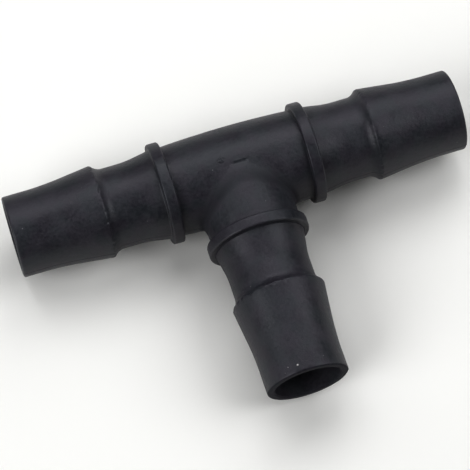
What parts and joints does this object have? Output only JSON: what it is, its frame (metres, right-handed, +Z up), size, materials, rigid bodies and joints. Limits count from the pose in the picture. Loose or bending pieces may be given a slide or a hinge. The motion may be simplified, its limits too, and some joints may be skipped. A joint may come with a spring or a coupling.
{
  "type": "barbed tee connector",
  "caption": "Hollow tee with a stop collar, a neck and a gripping barb on every arm, pushed into the ends of soft irrigation pipe to branch a line.",
  "frame": {"origin": "where the three arm axes cross, at the middle of the run's bore", "axes": "+X along the run towards its right arm, the branch along -Y, +Z up when the tee lies flat on its three stop collars"},
  "size_m": [0.076, 0.0465, 0.017],
  "materials": {
    "black_moulding": "satin"
  },
  "bodies": {
    "root": {"tee_body": "black_moulding", "right_stop_collar": "black_moulding", "right_neck": "black_moulding", "right_barb": "black_moulding", "right_nose": "black_moulding", "left_stop_collar": "black_moulding", "left_neck": "black_moulding", "left_barb": "black_moulding", "left_nose": "black_moulding", "branch_stop_collar": "black_moulding", "branch_neck": "black_moulding", "branch_barb": "black_moulding", "branch_nose": "black_moulding"}
  },
  "joints": []
}
